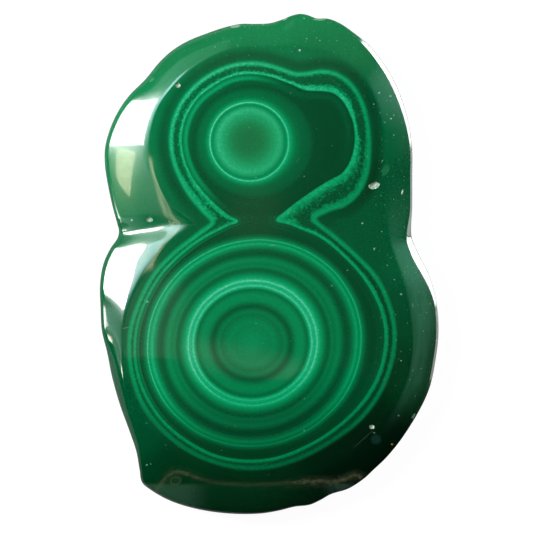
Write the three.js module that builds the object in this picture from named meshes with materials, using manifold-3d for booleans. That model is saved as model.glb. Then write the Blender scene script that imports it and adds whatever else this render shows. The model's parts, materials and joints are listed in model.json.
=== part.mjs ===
// Malachite stalactite slice: the cross-section of two stalactites that grew together, a small lobe
// over a large one. The back is sawn flat, and the face is polished flat in the middle and falls away
// towards a bevelled rim. Millimetres, +Z out of the polished face, +Y towards the small lobe.
import * as THREE from 'three';
import { mergeVertices } from 'three/addons/utils/BufferGeometryUtils.js';
import Module from 'manifold-3d';

// Heights and the fall of the face
const THICKNESS = 8.6;
const FALL_START = 0.8;
const FALL_CURVE_LEFT = 1.35;
const FALL_CURVE_RIGHT = 0.8;
const FALL_SOFTNESS = 0.08;

// Cut back by wear at the middle of the left rim, where the face falls less
const CUT_BACK = { x: -29.0, y: -7.5, reach: 9.0, core: 2.0, amount: 1.4 };

// Bevel of the rim, which is wider at two places on the right
const BEVEL_LEFT = 0.7;
const BEVEL_RIGHT = 0.35;
const WIDE_BEVELS = [
  { x: 24.6, y: 1.0, reach: 8.0, core: 1.0, amount: 0.8 },
  { x: 19.3, y: 30.5, reach: 13.0, core: 2.0, amount: 0.35 },
];
const BEVEL_GRADIENT_LEFT = 0.2;
const BEVEL_GRADIENT_RIGHT = 0.32;

// Rounding of the rim
const RIM_RADIUS_LEFT = 0.5;
const RIM_RADIUS_RIGHT = 0.05;

// Side wall, which leans in towards the sawn back
const WALL_LEAN = 0.7;
const BACK_BEVEL = 0.5;

// Valley where the two lobes meet at the left notch
const VALLEY_HEAD = [-13.2, 6.2];
const VALLEY_MOUTH = [-24.1, 5.0];
const VALLEY_DEPTH = 0.7;
const VALLEY_WIDTH = 2.0;
const VALLEY_FILLET = 0.45;

// Flat facet ground across the lower end
const FACET_EDGE_Y = -34.7;
const FACET_GRADIENT = 0.14;

// Mesh density
const RAYS = 264;
const OUTLINE_SAMPLES = 900;
const FACE_STEPS = [0.2, 0.4, 0.6, 0.8, 1.0];
const FLAT_STEPS = [0.7, 0.35];
const HUB = [-1.0, 5.4];

// Outline of the slice at its widest, clockwise from the right notch's lower side
const OUTLINE = [
  [22.7, 4.3], [22.8, 9.5], [22.8, 14.0], [22.8, 18.0], [22.3, 22.0], [21.4, 25.5], [20.1, 28.8],
  [18.3, 31.9], [15.9, 34.9], [13.4, 37.0], [11.2, 38.5], [9.4, 39.2], [7.4, 39.3], [6.1, 39.8],
  [4.9, 40.0], [3.5, 39.7], [1.8, 39.0], [0.0, 38.5], [-2.4, 38.4], [-4.6, 38.4], [-7.0, 37.9],
  [-10.0, 36.9], [-13.0, 35.7], [-15.5, 34.2], [-17.5, 32.4], [-19.9, 29.5], [-22.3, 27.1],
  [-24.1, 24.6], [-25.5, 21.6], [-26.3, 18.6], [-26.3, 15.6], [-25.8, 12.4], [-25.1, 9.2],
  [-24.4, 6.6], [-24.1, 5.3], [-24.3, 4.2], [-25.5, 2.4], [-26.6, -0.1], [-27.1, -3.4],
  [-27.0, -7.0], [-26.8, -10.6], [-26.0, -14.0], [-25.2, -18.0], [-24.0, -22.3], [-22.3, -27.0],
  [-21.3, -30.0], [-20.8, -32.8], [-20.4, -34.9], [-18.9, -36.2], [-15.8, -37.9], [-11.5, -39.2],
  [-6.5, -39.9], [-1.5, -39.9], [1.6, -39.4], [4.0, -38.8], [6.4, -38.5], [8.2, -37.7],
  [9.8, -36.8], [12.6, -35.9], [15.1, -34.3], [16.6, -32.9], [18.6, -31.0], [21.2, -27.8],
  [24.1, -23.1], [25.6, -19.7], [26.5, -15.5], [27.0, -11.0], [26.7, -6.4], [25.6, -2.1],
  [23.6, 2.0],
];

// Edge of the flat middle of the face
const FLAT_EDGE = [
  [-11.6, 6.2], [-14.9, 4.2], [-18.6, 0.4], [-21.1, -3.4], [-22.8, -7.6], [-23.4, -13.0],
  [-22.8, -18.5], [-20.6, -23.3], [-18.0, -27.5], [-14.5, -31.0], [-10.0, -33.2], [-5.0, -34.2],
  [0.0, -34.2], [5.0, -33.7], [9.5, -32.3], [13.8, -29.6], [17.4, -26.0], [20.2, -22.0],
  [22.0, -17.5], [22.7, -13.0], [22.5, -9.0], [21.6, -4.5], [20.3, -0.5], [19.0, 3.4],
  [18.2, 7.5], [17.9, 11.0], [17.8, 16.0], [17.6, 21.5], [16.5, 26.5], [14.0, 30.6],
  [10.0, 33.4], [5.0, 34.6], [-1.0, 34.6], [-6.5, 34.2], [-12.0, 31.4], [-15.8, 27.8],
  [-17.9, 24.6], [-19.0, 19.2], [-18.2, 14.0], [-15.4, 9.2],
];

// Open pits in the polished face: place, length, width, depth and turn in degrees
const PITS = [
  { x: 16.7, y: 12.5, length: 1.8, width: 1.1, depth: 0.45, turn: 18 },
  { x: -19.2, y: 7.1, length: 1.1, width: 0.8, depth: 0.35, turn: 0 },
  { x: -14.6, y: 28.5, length: 0.8, width: 0.8, depth: 0.3, turn: 0 },
  { x: 16.3, y: -26.0, length: 0.8, width: 0.7, depth: 0.3, turn: 0 },
];

// Closed smooth curve through hand-placed points, as evenly spaced samples
function sampleClosedCurve(points) {
  const corners = points.map(([x, y]) => new THREE.Vector3(x, y, 0));
  const curve = new THREE.CatmullRomCurve3(corners, true, 'centripetal');
  return curve.getSpacedPoints(OUTLINE_SAMPLES).slice(0, OUTLINE_SAMPLES);
}

const outline = sampleClosedCurve(OUTLINE);
const flatEdge = sampleClosedCurve(FLAT_EDGE);

// Shortest distance from a point to a closed polyline
function distanceTo(polyline, x, y) {
  let nearest = Infinity;
  polyline.forEach((start, i) => {
    const end = polyline[(i + 1) % polyline.length];
    const runX = end.x - start.x;
    const runY = end.y - start.y;
    const along = ((x - start.x) * runX + (y - start.y) * runY) / (runX * runX + runY * runY);
    const t = THREE.MathUtils.clamp(along, 0, 1);
    nearest = Math.min(nearest, Math.hypot(x - start.x - t * runX, y - start.y - t * runY));
  });
  return nearest;
}

function isInside(polyline, x, y) {
  let inside = false;
  polyline.forEach((start, i) => {
    const end = polyline[(i + 1) % polyline.length];
    const crosses = (start.y > y) !== (end.y > y);
    if (crosses && x < start.x + ((y - start.y) / (end.y - start.y)) * (end.x - start.x)) {
      inside = !inside;
    }
  });
  return inside;
}

// Depth of the valley, which deepens from its head to the notch
function valleyDepth(x, y) {
  const runX = VALLEY_MOUTH[0] - VALLEY_HEAD[0];
  const runY = VALLEY_MOUTH[1] - VALLEY_HEAD[1];
  const length = Math.hypot(runX, runY);
  const along = ((x - VALLEY_HEAD[0]) * runX + (y - VALLEY_HEAD[1]) * runY) / (length * length);
  const across = ((x - VALLEY_HEAD[0]) * runY - (y - VALLEY_HEAD[1]) * runX) / length;
  if (along <= 0) {
    return 0;
  }
  const rounded = Math.hypot(across, VALLEY_FILLET) - VALLEY_FILLET;
  const flank = Math.max(0, 1 - rounded / VALLEY_WIDTH);
  return VALLEY_DEPTH * Math.min(along, 1.2) ** 1.2 * flank ** 1.6;
}

// Runs from a left to a right value across the slice
function across(x, left, right) {
  return THREE.MathUtils.lerp(left, right, THREE.MathUtils.smoothstep(x, -20, 20));
}

// Amount that a local feature adds at a point: all of it in its core and nothing beyond its reach
function localAmount(feature, x, y) {
  const away = Math.hypot(x - feature.x, y - feature.y);
  return feature.amount * (1 - THREE.MathUtils.smoothstep(away, feature.core, feature.reach));
}

// Extra fall of the bevel and the rounded corner at the rim
function rimFall(x, y, toOutline) {
  const rightWidth = WIDE_BEVELS.reduce((sum, bevel) => sum + localAmount(bevel, x, y), BEVEL_RIGHT);
  const bevelWidth = across(x, BEVEL_LEFT, rightWidth);
  const gradient = across(x, BEVEL_GRADIENT_LEFT, BEVEL_GRADIENT_RIGHT);
  const bevel = gradient * Math.max(0, bevelWidth - toOutline);
  const radius = across(x, RIM_RADIUS_LEFT, RIM_RADIUS_RIGHT);
  const roundness = Math.max(0, 1 - toOutline / radius);
  return bevel + radius * (1 - Math.sqrt(1 - roundness * roundness));
}

// Height of the polished face over a point of the plan
function faceHeight(x, y) {
  const toOutline = distanceTo(outline, x, y);
  const toFlat = isInside(flatEdge, x, y) ? 0 : distanceTo(flatEdge, x, y);
  const outward = toFlat / (toFlat + toOutline + localAmount(CUT_BACK, x, y));
  const eased = Math.hypot(outward, FALL_SOFTNESS) - FALL_SOFTNESS;
  const curve = across(x, FALL_CURVE_LEFT, FALL_CURVE_RIGHT);
  const dome = THICKNESS - FALL_START * eased - curve * outward * outward;
  const facet = THICKNESS - FACET_GRADIENT * (FACET_EDGE_Y - y);
  return Math.min(dome, facet) - rimFall(x, y, toOutline) - valleyDepth(x, y);
}

// Share of the way from the hub to a rim point at which the flat middle ends
function flatShare(rim) {
  let inner = 0;
  let outer = 1;
  for (let halving = 0; halving < 24; halving += 1) {
    const middle = (inner + outer) / 2;
    const x = HUB[0] + (rim.x - HUB[0]) * middle;
    const y = HUB[1] + (rim.y - HUB[1]) * middle;
    if (isInside(flatEdge, x, y)) {
      inner = middle;
    } else {
      outer = middle;
    }
  }
  return inner;
}

// One meridian of the closed body, from the back's edge over the wall and the face to the flat middle
function meridian(rim) {
  const reach = Math.hypot(rim.x - HUB[0], rim.y - HUB[1]);
  const at = (inset, z) => {
    const share = 1 - inset / reach;
    const x = HUB[0] + (rim.x - HUB[0]) * share;
    const y = HUB[1] + (rim.y - HUB[1]) * share;
    return [x, y, z ?? faceHeight(x, y)];
  };
  const rimTop = faceHeight(rim.x, rim.y);
  const flatInset = reach * (1 - flatShare(rim));
  const bevelInset = BEVEL_RIGHT + WIDE_BEVELS[0].amount;
  return [
    at(WALL_LEAN + BACK_BEVEL, 0),
    at(WALL_LEAN, BACK_BEVEL),
    at(WALL_LEAN * 0.25, rimTop * 0.55),
    at(0, rimTop * 0.85),
    at(0),
    at(RIM_RADIUS_LEFT * 0.1),
    at(RIM_RADIUS_LEFT * 0.4),
    at(RIM_RADIUS_LEFT),
    at(bevelInset),
    ...FACE_STEPS.map((share) => at(bevelInset + (flatInset - bevelInset) * share)),
    ...FLAT_STEPS.map((share) => at(reach - (reach - flatInset) * share)),
  ];
}

// Closed body: the meridians' rings, closed by a fan on the back and one on the face
function sliceGeometry() {
  const stride = OUTLINE_SAMPLES / RAYS;
  const meridians = Array.from({ length: RAYS }, (_, i) => meridian(outline[Math.round(i * stride)]));
  const rings = meridians[0].length;
  const positions = meridians.flat(2);
  const backHub = positions.length / 3;
  const faceHub = backHub + 1;
  positions.push(HUB[0], HUB[1], 0, HUB[0], HUB[1], THICKNESS);
  const triangles = [];
  for (let i = 0; i < RAYS; i += 1) {
    const here = i * rings;
    const next = ((i + 1) % RAYS) * rings;
    triangles.push(backHub, next, here, faceHub, here + rings - 1, next + rings - 1);
    for (let k = 0; k < rings - 1; k += 1) {
      triangles.push(here + k, next + k, here + k + 1, next + k, next + k + 1, here + k + 1);
    }
  }
  const geometry = new THREE.BufferGeometry();
  geometry.setAttribute('position', new THREE.Float32BufferAttribute(positions, 3));
  geometry.setIndex(triangles);
  return geometry;
}

// Shallow ellipsoid that hollows out one pit
function pitGeometry(pit) {
  const geometry = new THREE.IcosahedronGeometry(1, 1);
  geometry.scale(pit.length / 2, pit.width / 2, pit.depth);
  geometry.rotateZ(THREE.MathUtils.degToRad(pit.turn));
  geometry.translate(pit.x, pit.y, faceHeight(pit.x, pit.y));
  return geometry;
}

const wasm = await Module();
wasm.setup();

function toSolid(geometry) {
  const plain = geometry.clone();
  plain.deleteAttribute('normal');
  plain.deleteAttribute('uv');
  const merged = mergeVertices(plain, 1e-4);
  return new wasm.Manifold(new wasm.Mesh({
    numProp: 3,
    vertProperties: new Float32Array(merged.attributes.position.array),
    triVerts: new Uint32Array(merged.index.array),
  }));
}

function toGeometry(solid) {
  const mesh = solid.getMesh();
  const geometry = new THREE.BufferGeometry();
  geometry.setAttribute('position', new THREE.BufferAttribute(mesh.vertProperties, 3));
  geometry.setIndex(new THREE.BufferAttribute(mesh.triVerts, 1));
  geometry.computeVertexNormals();
  return geometry;
}

// The slice with its pits, centred over the origin on its sawn back
function pittedSlice() {
  const body = PITS.reduce(
    (solid, pit) => solid.subtract(toSolid(pitGeometry(pit))),
    toSolid(sliceGeometry()),
  );
  const geometry = toGeometry(body);
  geometry.computeBoundingBox();
  const centre = geometry.boundingBox.getCenter(new THREE.Vector3());
  geometry.translate(-centre.x, -centre.y, 0);
  return geometry;
}

const malachite = new THREE.MeshStandardMaterial({
  color: '#0e7b49',
  roughness: 0.16,
  metalness: 0,
});

const slice = new THREE.Mesh(pittedSlice(), malachite);
slice.name = 'malachite_slice';

const model = new THREE.Group();
model.add(slice);

export default model;
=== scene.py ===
import json
import math
from collections import namedtuple

import bpy
from bpy.props import FloatProperty, FloatVectorProperty, IntProperty, PointerProperty
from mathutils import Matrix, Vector

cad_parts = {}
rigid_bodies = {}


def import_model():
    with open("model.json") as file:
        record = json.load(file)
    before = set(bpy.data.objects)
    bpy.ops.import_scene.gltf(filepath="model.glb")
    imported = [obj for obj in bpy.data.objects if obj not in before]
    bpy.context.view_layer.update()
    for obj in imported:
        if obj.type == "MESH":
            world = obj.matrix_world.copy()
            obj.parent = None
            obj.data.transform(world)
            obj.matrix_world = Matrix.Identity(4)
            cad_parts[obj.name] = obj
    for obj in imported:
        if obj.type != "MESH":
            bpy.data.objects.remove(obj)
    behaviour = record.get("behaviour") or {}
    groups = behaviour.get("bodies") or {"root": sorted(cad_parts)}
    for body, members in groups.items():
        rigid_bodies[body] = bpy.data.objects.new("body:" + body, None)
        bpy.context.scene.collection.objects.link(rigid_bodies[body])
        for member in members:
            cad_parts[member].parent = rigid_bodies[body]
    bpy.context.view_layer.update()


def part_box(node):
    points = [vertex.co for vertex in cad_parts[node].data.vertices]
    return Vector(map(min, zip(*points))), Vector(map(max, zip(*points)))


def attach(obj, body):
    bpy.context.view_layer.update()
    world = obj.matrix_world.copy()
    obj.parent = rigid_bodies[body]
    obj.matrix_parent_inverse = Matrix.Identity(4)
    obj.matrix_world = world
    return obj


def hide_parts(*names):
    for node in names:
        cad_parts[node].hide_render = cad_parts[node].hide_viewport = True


bl_info = {
    "name": "Malachite stalactite slice",
    "version": (1, 0, 0),
    "blender": (4, 5, 0),
    "location": "3D View > Sidebar > Malachite",
    "description": "Polished slice of two malachite stalactites that grew together, on a pale table",
    "category": "Add Mesh",
}

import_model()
MM = 0.001

# Outline of the slice at its widest, in millimetres, anticlockwise from the right notch
OUTLINE = [
    (22.7, 4.3), (22.8, 9.5), (22.8, 14), (22.8, 18), (22.3, 22), (21.4, 25.5), (20.1, 28.8),
    (18.3, 31.9), (15.9, 34.9), (13.4, 37), (11.2, 38.5), (9.4, 39.2), (7.4, 39.3), (6.1, 39.8),
    (4.9, 40), (3.5, 39.7), (1.8, 39), (0, 38.5), (-2.4, 38.4), (-4.6, 38.4), (-7, 37.9), (-10, 36.9),
    (-13, 35.7), (-15.5, 34.2), (-17.5, 32.4), (-19.9, 29.5), (-22.3, 27.1), (-24.1, 24.6),
    (-25.5, 21.6), (-26.3, 18.6), (-26.3, 15.6), (-25.8, 12.4), (-25.1, 9.2), (-24.4, 6.6),
    (-24.1, 5.3), (-24.3, 4.2), (-25.5, 2.4), (-26.6, -0.1), (-27.1, -3.4), (-27, -7), (-26.8, -10.6),
    (-26, -14), (-25.2, -18), (-24, -22.3), (-22.3, -27), (-21.3, -30), (-20.8, -32.8), (-20.4, -34.9),
    (-18.9, -36.2), (-15.8, -37.9), (-11.5, -39.2), (-6.5, -39.9), (-1.5, -39.9), (1.6, -39.4),
    (4, -38.8), (6.4, -38.5), (8.2, -37.7), (9.8, -36.8), (12.6, -35.9), (15.1, -34.3), (16.6, -32.9),
    (18.6, -31), (21.2, -27.8), (24.1, -23.1), (25.6, -19.7), (26.5, -15.5), (27, -11), (26.7, -6.4),
    (25.6, -2.1), (23.6, 2),
]

# Edge of the flat middle of the face
FLAT_EDGE = [
    (-11.6, 6.2), (-14.9, 4.2), (-18.6, 0.4), (-21.1, -3.4), (-22.8, -7.6), (-23.4, -13),
    (-22.8, -18.5), (-20.6, -23.3), (-18, -27.5), (-14.5, -31), (-10, -33.2), (-5, -34.2), (0, -34.2),
    (5, -33.7), (9.5, -32.3), (13.8, -29.6), (17.4, -26), (20.2, -22), (22, -17.5), (22.7, -13),
    (22.5, -9), (21.6, -4.5), (20.3, -0.5), (19, 3.4), (18.2, 7.5), (17.9, 11), (17.8, 16),
    (17.6, 21.5), (16.5, 26.5), (14, 30.6), (10, 33.4), (5, 34.6), (-1, 34.6), (-6.5, 34.2),
    (-12, 31.4), (-15.8, 27.8), (-17.9, 24.6), (-19, 19.2), (-18.2, 14), (-15.4, 9.2),
]

# Middle of the inner pale line that runs round both lobes
INNER_LINE = [
    (1.2, 7), (2.3, 8), (4.2, 9.5), (7, 11.5), (9.4, 13), (11.7, 14.3), (13, 16.2), (13.7, 18.6),
    (13.8, 21), (13.3, 23.6), (12.1, 26.1), (10.4, 27.6), (8.2, 28), (5.8, 28.1), (3.2, 29), (0.4, 30),
    (-2.8, 30.5), (-6, 30.1), (-9, 28.6), (-11.7, 26.4), (-13.5, 23.4), (-14.2, 20), (-13.7, 16.6),
    (-12.3, 13.5), (-10, 10.6), (-7.8, 8.5), (-6.3, 7.4), (-5.2, 6.85), (-6.4, 6.35), (-7.9, 5.65),
    (-10.8, 4.1), (-14.5, 1.3), (-17.7, -2.2), (-19.9, -6.2), (-21.2, -10.2), (-21.5, -14.2),
    (-20.9, -18.2), (-19.4, -21.9), (-16.8, -25.5), (-13.1, -28.5), (-8.8, -30.7), (-3.8, -31.6),
    (1.2, -31.1), (5.9, -29.3), (10.2, -26.7), (14, -23.3), (16.8, -19.2), (18.3, -14.6), (18.5, -10),
    (17.3, -5.9), (15, -2), (11.7, 1.6), (8.2, 4.4), (4.7, 5.9), (2.6, 6.65),
]

# Middle of the outer pale line
OUTER_LINE = [
    (7, 7.3), (9.2, 8.8), (12, 9.8), (14.1, 11.8), (15.3, 14.6), (15.7, 18), (15.6, 21.6), (14.8, 25.3),
    (13.1, 28.3), (11, 30), (8.6, 30.6), (6.2, 30.3), (4.2, 30.2), (1.7, 31), (-1.2, 31.8),
    (-4.6, 31.8), (-8, 30.8), (-11.2, 28.8), (-13.8, 25.9), (-15.3, 22.4), (-15.6, 18.8), (-14.7, 15),
    (-12.8, 11.5), (-10.6, 8.8), (-9, 6.7), (-11.2, 4.9), (-15, 2), (-18.3, -1.5), (-20.6, -5.6),
    (-22.1, -10), (-22.4, -14.4), (-21.7, -18.6), (-20.2, -22.5), (-17.5, -26.1), (-13.9, -29.2),
    (-9.5, -31.4), (-4.6, -32.5), (0.6, -32.2), (5.5, -30.6), (10, -28.1), (14.1, -25), (17.3, -20.9),
    (19.3, -16), (19.9, -11), (19, -6.5), (17, -2.3), (13.5, 1.5), (10.2, 4.4),
]

# Line along the edge of the flat facet that is ground across the lower end, where a warm glint is
# painted
FACET_LINE = [
    (-18.3, -36.3), (-16.7, -34.4), (-15.5, -33.3), (-14, -33.2), (-12, -33.9), (-9.5, -34.7),
    (-6, -35.1), (0, -35.1), (3, -34.9), (8, -34.7), (10, -34.8), (12, -34.4), (13.5, -33.8),
    (14.8, -34.1),
]

# Open pits: place, length, width, depth and turn in degrees
PITS = [
    (16.7, 12.5, 1.8, 1.1, 0.45, 18),
    (-19.2, 7.1, 1.1, 0.8, 0.35, 0),
    (-14.6, 28.5, 0.8, 0.8, 0.3, 0),
    (16.3, -26.0, 0.8, 0.7, 0.3, 0),
]

# Chips, specks and scratches: place, length, width, turn in degrees, share and display colour
SPECKS = [
    (-18.8, 29.4, 0.9, 0.35, 40, 0.35, (150, 200, 170)), (-20.3, 23.7, 0.3, 0.3, 0, 0.8, (20, 70, 120)),
    (-5.5, 38, 1.5, 0.5, 5, 0.65, (190, 215, 190)), (2.5, 39.2, 0.8, 0.4, 30, 0.5, (185, 210, 190)),
    (8, 39.1, 2, 0.35, 0, 0.5, (190, 215, 190)), (4.8, 34.1, 0.3, 0.3, 0, 0.9, (225, 240, 225)),
    (21.2, 11.5, 0.8, 0.25, 75, 0.9, (225, 240, 225)), (18.5, 15, 1.8, 1.1, 60, 0.25, (60, 170, 110)),
    (-22, 7, 0.35, 0.3, 0, 0.8, (215, 235, 220)), (-23, 5.4, 0.3, 0.25, 0, 0.6, (215, 235, 220)),
    (-16, 6.8, 0.3, 0.2, 0, 0.6, (170, 215, 190)), (-15.3, 6.6, 0.25, 0.2, 0, 0.5, (170, 215, 190)),
    (14.8, 6.5, 0.3, 0.25, 0, 0.8, (200, 225, 205)), (16.7, 2.4, 0.4, 0.25, 70, 0.7, (170, 215, 190)),
    (21, -4.8, 0.35, 0.3, 0, 0.6, (170, 215, 190)), (12.4, -1, 0.25, 0.2, 0, 0.5, (150, 205, 175)),
    (17.5, 27.3, 0.35, 0.2, 30, 0.6, (200, 225, 210)),
    (19.3, 26.8, 0.35, 0.25, 0, 0.6, (200, 225, 210)), (16.6, 25.5, 0.25, 0.2, 0, 0.5, (180, 215, 195)),
    (19.4, 23.2, 0.3, 0.25, 0, 0.6, (200, 225, 210)), (18.4, 22.6, 0.25, 0.2, 0, 0.5, (180, 215, 195)),
    (-19.5, -6, 0.4, 0.3, 0, 0.6, (150, 210, 180)), (-23, -10.2, 1, 0.2, 15, 0.25, (150, 200, 180)),
    (-19.6, -25.4, 0.3, 0.2, 0, 0.4, (90, 170, 130)),
    (-19.6, -32.1, 0.3, 0.25, 0, 0.7, (120, 200, 190)), (-19, -31.9, 0.2, 0.2, 0, 0.6, (120, 190, 170)),
    (-16.5, -28.9, 0.3, 0.2, 0, 0.4, (70, 150, 110)), (16.7, -26.9, 0.4, 0.3, 0, 0.4, (90, 140, 120)),
    (17, -28, 1.6, 1.5, 0, 0.16, (60, 110, 110)), (19.6, -28.8, 0.35, 0.3, 0, 0.9, (210, 150, 60)),
    (20.6, -24.2, 0.35, 0.3, 0, 0.5, (110, 150, 130)), (23, -24.3, 0.9, 0.4, 60, 0.45, (150, 190, 180)),
    (0.5, 3, 0.9, 0.16, 8, 0.6, (110, 190, 150)), (4.5, 16.5, 0.9, 0.12, 60, 0.35, (90, 160, 120)),
    (15.2, -27.7, 5, 0.14, 42, 0.22, (110, 110, 80)),
    (-24.3, -24.6, 0.4, 0.2, 70, 0.5, (150, 190, 170)),
]

# Middles of the two lobes
LOWER_CENTRE = (-2.6, -12.6)
UPPER_CENTRE = (-3.26, 19.68)

# Soft patches of the stone outside the lines: place, reach, core and gain in the depth of green,
# which runs from 0 for the darkest green to 1 for the palest
PATCHES = [
    (23, -5, 24, 2, 0.09), (13, -32, 14, 4, -0.015), (11, 4, 4, 1, 0.02), (18.5, 20, 6, 2, 0.03),
    (22, 0, 5, 1, 0.04), (-22.5, -15, 9, 3, 0.025), (-21.2, -26, 7, 2.5, 0.055),
    (23.5, -21, 6, 2, 0.04), (0, -35, 9, 2, 0.02),
]

# Depth of green at distances from the middle of a lobe, in millimetres up to the ramps' reach
RAMP_REACH = 20.0
LOWER_BANDS = [
    (0, 0.562), (1.2, 0.547), (2.8, 0.517), (3.5, 0.526), (4.6, 0.465), (5.1, 0.487), (5.4, 0.46),
    (5.95, 0.365), (6.2, 0.385), (6.9, 0.52), (7.95, 0.545), (8.3, 0.5), (8.75, 0.482), (9.15, 0.71),
    (9.8, 0.71), (10.3, 0.735), (10.5, 0.67), (11.1, 0.54), (11.85, 0.395), (12.35, 0.5), (12.7, 0.485),
    (13.4, 0.528), (13.65, 0.505), (14.3, 0.372), (14.8, 0.362), (15.2, 0.435), (15.95, 0.612),
    (16.4, 0.6), (16.9, 0.545), (17.2, 0.45), (17.5, 0.37), (17.9, 0.305),
]
UPPER_BANDS = [
    (0, 0.452), (1.2, 0.466), (2, 0.49), (2.6, 0.53), (3.4, 0.595), (4.1, 0.66), (4.85, 0.72),
    (5.1, 0.705), (5.75, 0.58), (6.05, 0.6), (6.5, 0.65), (6.7, 0.59), (7, 0.51), (7.4, 0.445),
    (7.9, 0.417), (8.4, 0.403), (8.8, 0.365), (9.3, 0.325), (9.9, 0.325), (11, 0.31),
]

# Fine rings of each lobe: radius, half width and gain in the depth of green
LOWER_RINGS = [
    (2.78, 0.12, -0.008), (3.15, 0.1, -0.01), (4.62, 0.16, -0.02), (7.45, 0.1, -0.012),
    (8.27, 0.13, -0.015), (8.67, 0.13, -0.02), (9.32, 0.18, 0.07), (9.72, 0.14, 0), (10.12, 0.22, 0.1),
    (15.98, 0.2, 0.05), (16.38, 0.13, -0.07), (16.72, 0.18, 0.17),
]
UPPER_RINGS = [(5.8, 0.14, -0.03), (6.26, 0.22, 0.19)]

# Greens of the stone from its darkest to its palest, at the depth of green each belongs to
PALETTE = [
    (0.05, (0, 13, 5)), (0.12, (0, 30, 14)), (0.18, (0, 45, 20)), (0.27, (0, 69, 36)),
    (0.335, (0, 85, 49)), (0.41, (0, 104, 61)), (0.49, (0, 125, 73)), (0.54, (0, 138, 81)),
    (0.59, (0, 150, 92)), (0.647, (4, 165, 103)), (0.718, (14, 183, 119)), (0.77, (34, 196, 137)),
    (0.81, (56, 207, 148)), (0.88, (98, 223, 176)), (0.96, (205, 242, 225)),
]

# Glowing panes round the slice: name, corners as azimuth and zenith angles in degrees, radiance near
# the first two corners and the last two, colour, fading edge, distance and whether it is clear
WHITE = (1.0, 1.0, 1.0)
WINDOW = [(143, 31), (171, 20), (168.5, 62), (143, 62)]
PANES = [
    ("window", WINDOW, 15.0, 15.0, (0.97, 1.0, 1.0), 0.02, 0.8, False),
    ("window_glare", WINDOW, 9.0, 9.0, WHITE, 0.02, 0.78, True),
    ("window_skirt", [(178, 30), (178, 8), (122, 14), (122, 36)], 1.5, 7.0, (0.58, 0.88, 1.0), 0.35,
     0.8, True),
    ("curtain", [(143, 60), (143, 11), (100, 11), (100, 60)], 0.8, 0.2, (0.5, 1.0, 0.78), 0.08,
     0.8, False),
    ("right_strip", [(6, 72), (52, 72), (52, 89.5), (6, 89.5)], 11.0, 11.0, WHITE, 0.08, 0.8, False),
    ("right_edge", [(-16, 72), (6, 72), (6, 89.5), (-16, 89.5)], 2.2, 2.2, WHITE, 0.08, 0.8, False),
    ("soft_grey", [(10, 14), (42, 14), (42, 70), (10, 70)], 0.1, 0.9, (0.5, 1.0, 0.9), 0.35,
     0.8, False),
]

# Clear glowing cards over the face: name, corners on the plan in millimetres, near and far radiance,
# colour, fading edge, and the shares that blotches and stripes take away
CARD_HEIGHT = 34.0
CARDS = [
    ("warm_pane", [(-50, 23), (-32.5, 18.5), (-40, 5), (-50, 9)], 5.5, 5.5, (1.0, 0.93, 0.62),
     0.08, 0.4, 0.0),
    ("streaks", [(-19.2, 18), (-24.5, 18), (-23.0, -1.5), (-18.6, -1.5)], 3.4, 2.4,
     (1.0, 0.98, 0.68), 0.09, 0.0, 0.85),
    ("low_haze", [(-31, -3), (-31, -14), (-60, -22), (-60, -3)], 0.1, 1.5, (0.7, 1.0, 0.95),
     0.15, 0.0, 0.0),
    ("rim_strip", [(-51, -4.5), (-51, -13), (-110, -26), (-110, -4.5)], 9.0, 9.0,
     (1.0, 1.0, 0.95), 0.1, 0.0, 0.0),
    ("low_strip", [(-57, -18.5), (-57, -24), (-78, -33), (-78, -27)], 9.0, 9.0,
     (1.0, 0.98, 0.82), 0.1, 0.0, 0.0),
    ("low_left_haze", [(-50, -12), (-50, -24), (-140, -36), (-140, -20)], 0.5, 0.6,
     (0.75, 1.0, 0.9), 0.25, 0.0, 0.0),
    ("bulge_haze", [(24, 16), (62, 16), (62, -44), (24, -44)], 0.75, 0.1, (0.38, 1.0, 0.72),
     0.35, 0.4, 0.0),
]

# Width, middle and level of the part of the plan that the camera sees, in millimetres
VIEW_WIDTH = 85.28
VIEW_MIDDLE = (-0.48, -0.40)
VIEW_LEVEL = 5.5


# Node helpers

class Wire:
    """A value inside a node tree, which ordinary arithmetic joins to others."""

    def __init__(self, tree, socket):
        self.tree = tree
        self.socket = socket

    def __add__(self, other):
        return calc("ADD", self, other)

    def __radd__(self, other):
        return calc("ADD", other, self)

    def __sub__(self, other):
        return calc("SUBTRACT", self, other)

    def __rsub__(self, other):
        return calc("SUBTRACT", other, self)

    def __mul__(self, other):
        return calc("MULTIPLY", self, other)

    def __rmul__(self, other):
        return calc("MULTIPLY", other, self)

    def __truediv__(self, other):
        return calc("DIVIDE", self, other)

    def __pow__(self, other):
        return calc("POWER", self, other)


def plug(tree, socket, value):
    """Joins a wire to a socket, or sets a plain value on it."""
    if isinstance(value, Wire):
        tree.links.new(value.socket, socket)
    else:
        socket.default_value = value


def add_node(tree, kind, inputs=(), **choices):
    node = tree.nodes.new(kind)
    for name, value in choices.items():
        setattr(node, name, value)
    for key, value in dict(inputs).items():
        plug(tree, node.inputs[key], value)
    return node


def wire(tree, kind, inputs=(), output=0, **choices):
    return Wire(tree, add_node(tree, kind, inputs, **choices).outputs[output])


def tree_of(values):
    return next(value.tree for value in values if isinstance(value, Wire))


def calc(operation, *values):
    return wire(tree_of(values), "ShaderNodeMath", enumerate(values), operation=operation)


def vector_calc(operation, *values, output="Vector"):
    inputs = {}
    for index, value in enumerate(values):
        inputs["Scale" if operation == "SCALE" and index == 1 else index] = value
    return wire(tree_of(values), "ShaderNodeVectorMath", inputs, output, operation=operation)


def vector_length(vector):
    return vector_calc("LENGTH", vector, output="Value")


def parts(vector):
    node = add_node(vector.tree, "ShaderNodeSeparateXYZ", {0: vector})
    return [Wire(vector.tree, socket) for socket in node.outputs]


def point(tree, x, y, z=0.0):
    return wire(tree, "ShaderNodeCombineXYZ", {0: x, 1: y, 2: z})


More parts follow.
